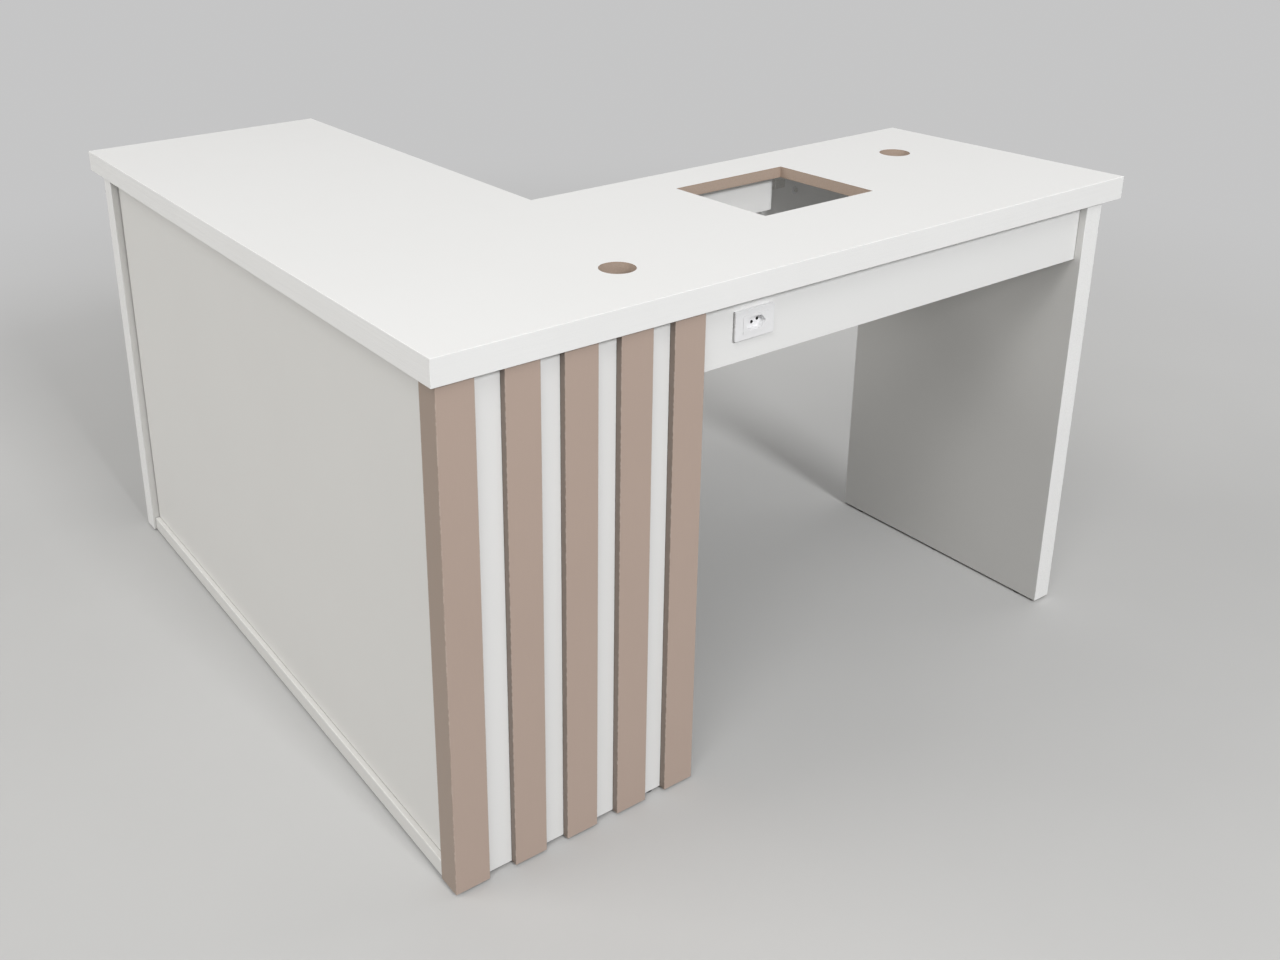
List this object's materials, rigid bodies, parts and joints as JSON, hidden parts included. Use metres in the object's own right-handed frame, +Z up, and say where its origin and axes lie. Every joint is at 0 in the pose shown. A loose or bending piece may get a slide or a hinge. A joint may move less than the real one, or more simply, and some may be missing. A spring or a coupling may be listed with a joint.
{
  "type": "l-shaped desk",
  "caption": "L-shaped office desk with slab gables, a slatted end panel, an apron socket, round cable holes and a rectangular worktop cut-out.",
  "frame": {"origin": "on the floor under the middle of the desk's bounding box", "axes": "+X along the front wing towards the slab gable, +Y along the side wing away from the slatted end, +Z up; the visitor's side with the apron, socket and slats faces -Y"},
  "size_m": [1.26, 1.24, 0.75],
  "materials": {
    "white_board": "white melamine facing with a fine satin grain on brown MDF",
    "white_edging": "white satin plastic edging",
    "taupe_board": "plain taupe melamine, satin",
    "beech_dowel": "raw beech",
    "zinc_steel": "bright zinc plate",
    "zinc_casting": "die-cast zinc",
    "white_plastic": "white moulded plastic, half gloss",
    "grey_plastic": "grey moulded plastic",
    "brass_contact": "plain brass",
    "black_rubber": "black rubber"
  },
  "bodies": {
    "root": {"angle_brackets": "zinc_steel", "apron": "white_board", "base_rail": "white_board", "batten_screws": "zinc_steel", "bracket_screws": "zinc_steel", "buildup_far": "white_board", "buildup_front": "white_board", "buildup_inner": "white_board", "buildup_left": "white_board", "buildup_rear": "white_board", "buildup_right": "white_board", "cam_bolts": "zinc_steel", "cam_housings": "zinc_casting", "corner_post": "taupe_board", "cutout_batten": "white_board", "dowels": "beech_dowel", "edging_far": "white_edging", "edging_front": "white_edging", "edging_inner": "white_edging", "edging_left": "white_edging", "edging_rear": "white_edging", "edging_right": "white_edging", "far_gable_edging": "white_edging", "far_gable_inner_leaf": "white_board", "far_gable_outer_leaf": "white_board", "glides": "grey_plastic", "inner_support_panel": "white_board", "modesty_panel": "white_board", "rear_rail": "white_board", "right_gable_edging": "white_edging", "right_gable_inner_leaf": "white_board", "right_gable_outer_leaf": "white_board", "slat_2": "taupe_board", "slat_3": "taupe_board", "slat_4": "taupe_board", "slat_5": "taupe_board", "slat_backing": "white_board", "slat_screws": "zinc_steel", "socket_back_cap": "grey_plastic", "socket_bezel": "white_plastic", "socket_cable_grommet": "black_rubber", "socket_cap_screws": "zinc_steel", "socket_clips": "white_plastic", "socket_contacts": "brass_contact", "socket_insert": "white_plastic", "socket_terminal_screws": "zinc_steel", "socket_terminals": "brass_contact", "stop_screw": "zinc_steel", "stop_screw_collar": "white_plastic", "worktop_board": "white_board"}
  },
  "joints": []
}
